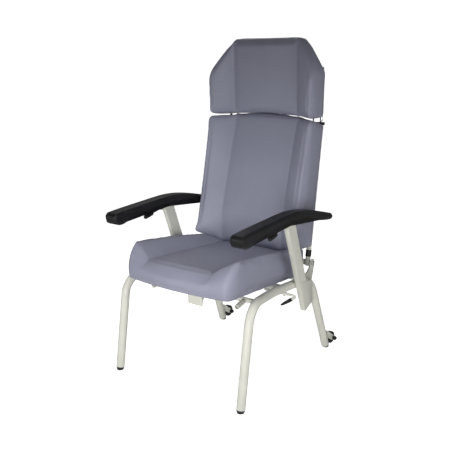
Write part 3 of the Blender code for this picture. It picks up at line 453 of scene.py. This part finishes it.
def crease(item, planes, facing, depth, width):
    """Presses a sewn seam into the cover where each plane x = value meets the facing side."""
    bm = bmesh.new()
    bm.from_mesh(item.data)
    for x in planes:
        for offset in (-1.6, -0.8, 0.0, 0.8, 1.6):
            near = [f for f in bm.faces if abs(f.calc_center_median().x - x) < 0.02]
            geometry = (near + list({e for f in near for e in f.edges})
                        + list({v for f in near for v in f.verts}))
            bmesh.ops.bisect_plane(bm, geom=geometry, dist=1e-6, plane_co=(x + offset * width, 0, 0),
                                   plane_no=(1, 0, 0))
    bm.normal_update()
    moves = []
    for vert in bm.verts:
        turn = min(max((vert.normal.dot(facing) - 0.35) / 0.3, 0.0), 1.0)
        for x in planes:
            away = (vert.co.x - x) / width
            if turn and abs(away) < 3:
                moves.append((vert, vert.normal * (-depth * turn * math.exp(-away * away))))
    for vert, move in moves:
        vert.co += move
    bm.to_mesh(item.data)
    bm.free()


def fitted(points, low, high):
    """Stretches the points along each axis so that they fill the box from low to high."""
    start, end = points.min(axis=0), points.max(axis=0)
    return low + (points - start) * (high - low) / (end - start)


def swelling(points, normal, facing):
    """How far the cover may stand out: most on the sides and on the middle panel."""
    side = step(np.abs(normal[:, 0]), 0.6, 0.9)
    panel = step(normal @ facing, 0.5, 0.9) * np.clip(1 - (points[:, 0] / FOLD_X) ** 2, 0, 1)
    return LEAST_SWELL + SIDE_SWELL * side + PANEL_SWELL * panel


def folds(points, across, knee_line):
    """1 along the sewn folds of the padded face and 0 away from them."""
    fold = np.exp(-((np.abs(points[:, 0]) - FOLD_X) / FOLD_WIDTH) ** 2)
    if knee_line is not None:
        inside = 1 - step(np.abs(points[:, 0]), FOLD_X, FOLD_X + KNEE_FADE)
        line = knee_line + KNEE_BOW * points[:, 0] ** 2
        fold = np.maximum(fold, np.exp(-((points[:, 1] - line) / KNEE_WIDTH) ** 2) * inside)
    return fold * step(across, 0.3, 0.6)


def cushion(cad, board, facing, corner_rounds, grow, knee=None):
    """A padded cushion in the space of its CAD solid: rounded, swollen, then seamed.

    grow is how far the cover stands past the solid's box, below and above on each axis.
    knee is how far behind the solid's front the panel bends down.
    """
    facing = np.array(facing)
    item = joined_form(cad + "_cover", cad, board)
    solid = coordinates(item.data)
    low, high = solid.min(axis=0) - grow[0], solid.max(axis=0) + grow[1]
    remesh = item.modifiers.new("even", "REMESH")
    remesh.mode, remesh.voxel_size = "VOXEL", SIM_VOXEL
    apply_modifiers(item)
    mesh = item.data
    points = coordinates(mesh)
    across = normals(mesh) @ facing
    back_side = step(-across, 0.5, 0.8)
    fold = folds(points, across, None if knee is None else low[1] + knee)
    outline = 1 - step(np.abs(across), 0.35, 0.75)
    outline = relaxed(mesh, np.repeat(outline[:, None], 3, axis=1), OUTLINE_SPREAD)[:, 0]
    outline = np.clip(2 * outline, 0, 1)
    points = relaxed(mesh, points, corner_rounds, 0.5, 1 - outline)
    hold = np.clip(FOLD_HOLD * fold + BACK_HOLD * back_side, 0, 1)
    points = relaxed(mesh, points, FACE_ROUNDS, 0.5, hold)
    set_coordinates(mesh, points)
    limit = swelling(points, normals(mesh), facing)
    limit = limit * (1 - 0.85 * fold) * (1 - back_side) + 0.0003
    points = points - normals(mesh) * (limit * START_INSET)[:, None]
    set_coordinates(mesh, points)
    points = inflated(item, limit)
    mesh = item.data
    points = relaxed(mesh, points, 2, 0.5, 0.8 * fold)
    set_coordinates(mesh, fitted(points, low, high))
    surface = item.modifiers.new("surface", "SUBSURF")
    surface.levels = surface.render_levels = 1
    apply_modifiers(item)
    crease(item, (-FOLD_X, FOLD_X), Vector(facing), SEAM_DEPTH, SEAM_WIDTH)
    item.data.shade_smooth()
    item.data.materials.clear()
    item.data.materials.append(MATERIALS["vinyl"])
    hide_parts(cad)
    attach(item, body_of(cad))


# ---------------------------------------------------------------- the chair

def hard_parts():
    for name in sorted(NODES):
        if name in SOFT_NODES:
            continue
        item = finer(name, look_of(name))
        if name.endswith("_board"):
            raise_panel(item)


def cushions():
    seat_grow = np.array(((0.0, 0.0, 0.0), (0.0, 0.0, 0.003)))
    back_grow = np.array(((0.003, 0.001, 0.0), (0.003, 0.0, 0.007)))
    head_grow = np.array(((0.006, 0.002, 0.004), (0.006, 0.0, 0.009)))
    cushion("seat_cushion", "seat_board", (0, 0, 1), 4, seat_grow, KNEE_DEPTH)
    cushion("back_cushion", "back_board", (0, -1, 0), 10, back_grow)
    cushion("head_cushion", "head_board", (0, -1, 0), 30, head_grow)


# ---------------------------------------------------------------- studio

def area_light(name, place, aim, size, power, spread=180):
    """Square soft box; spread is the angle its grid lets through, in degrees."""
    data = bpy.data.lights.new(name, "AREA")
    data.size, data.energy, data.spread = size, power, math.radians(spread)
    item = bpy.data.objects.new(name, data)
    item.location = place
    item.rotation_euler = (Vector(aim) - Vector(place)).to_track_quat("-Z", "Y").to_euler()
    bpy.context.scene.collection.objects.link(item)


def studio():
    mesh = bpy.data.meshes.new("studio_floor")
    bm = bmesh.new()
    reach, rise, sweep, steps = 9.0, 9.0, 2.0, 16
    profile = [(-reach, 0.0), (reach - sweep, 0.0)]
    for i in range(1, steps + 1):
        turn = math.pi / 2 * i / steps
        profile.append((reach - sweep + sweep * math.sin(turn), sweep - sweep * math.cos(turn)))
    profile.append((reach, rise))
    rows = [[bm.verts.new((x, y, z)) for y, z in profile] for x in (-14.0, 14.0)]
    for i in range(len(profile) - 1):
        bm.faces.new((rows[0][i], rows[1][i], rows[1][i + 1], rows[0][i + 1]))
    bm.to_mesh(mesh)
    bm.free()
    mesh.shade_smooth()
    mesh.materials.append(floor_material())
    floor = bpy.data.objects.new("studio_floor", mesh)
    floor.location.z = cad_box[0].z - 0.0005
    bpy.context.scene.collection.objects.link(floor)

    world = bpy.data.worlds.new("studio_world")
    world.use_nodes = True
    tree = world.node_tree
    background = tree.nodes["Background"]
    background.inputs["Color"].default_value = (1.0, 1.0, 1.0, 1.0)
    seen = tree.nodes.new("ShaderNodeLightPath")
    tree.links.new(seen.outputs["Is Camera Ray"], background.inputs["Strength"])
    bpy.context.scene.world = world
    middle, seat = (0.0, 0.0, 0.6), (0.0, -0.3, 0.4)
    area_light("key_low_right", (1.15, -2.2, 0.55), seat, 0.8, 4.5, 60)
    area_light("fill_low_left", (-0.8, -2.0, 0.4), seat, 0.8, 1.9, 70)
    area_light("top_spot", (0.4, -1.0, 2.3), (0.0, -0.15, 0.45), 0.6, 1.2, 45)
    area_light("side_right", (2.2, -0.3, 1.0), middle, 1.2, 14.0)
    area_light("side_left", (-2.2, 0.0, 1.0), middle, 1.2, 6.5)
    area_light("rear_top", (-1.0, 1.0, 2.2), middle, 1.0, 7.7)
    area_light("rear_right", (1.8, 1.2, 1.2), middle, 1.0, 1.5)


def camera():
    """The camera stands in front of the chair's +X corner, a little above the back."""
    data = bpy.data.cameras.new("camera")
    data.sensor_width, data.lens = 36.0, 51.85
    item = bpy.data.objects.new("camera", data)
    yaw, pitch, roll = math.radians(34.99), math.radians(13.29), math.radians(0.618)
    level = math.cos(pitch)
    forward = Vector((-math.sin(yaw) * level, math.cos(yaw) * level, -math.sin(pitch)))
    item.location = (1.438, -2.1075, 1.177)
    item.rotation_mode = "QUATERNION"
    item.rotation_quaternion = forward.to_track_quat("-Z", "Y") @ Quaternion((0, 0, 1), roll)
    bpy.context.scene.collection.objects.link(item)
    bpy.context.scene.camera = item


bpy.context.scene.view_settings.view_transform = "Standard"
camera()
hard_parts()
cushions()
studio()
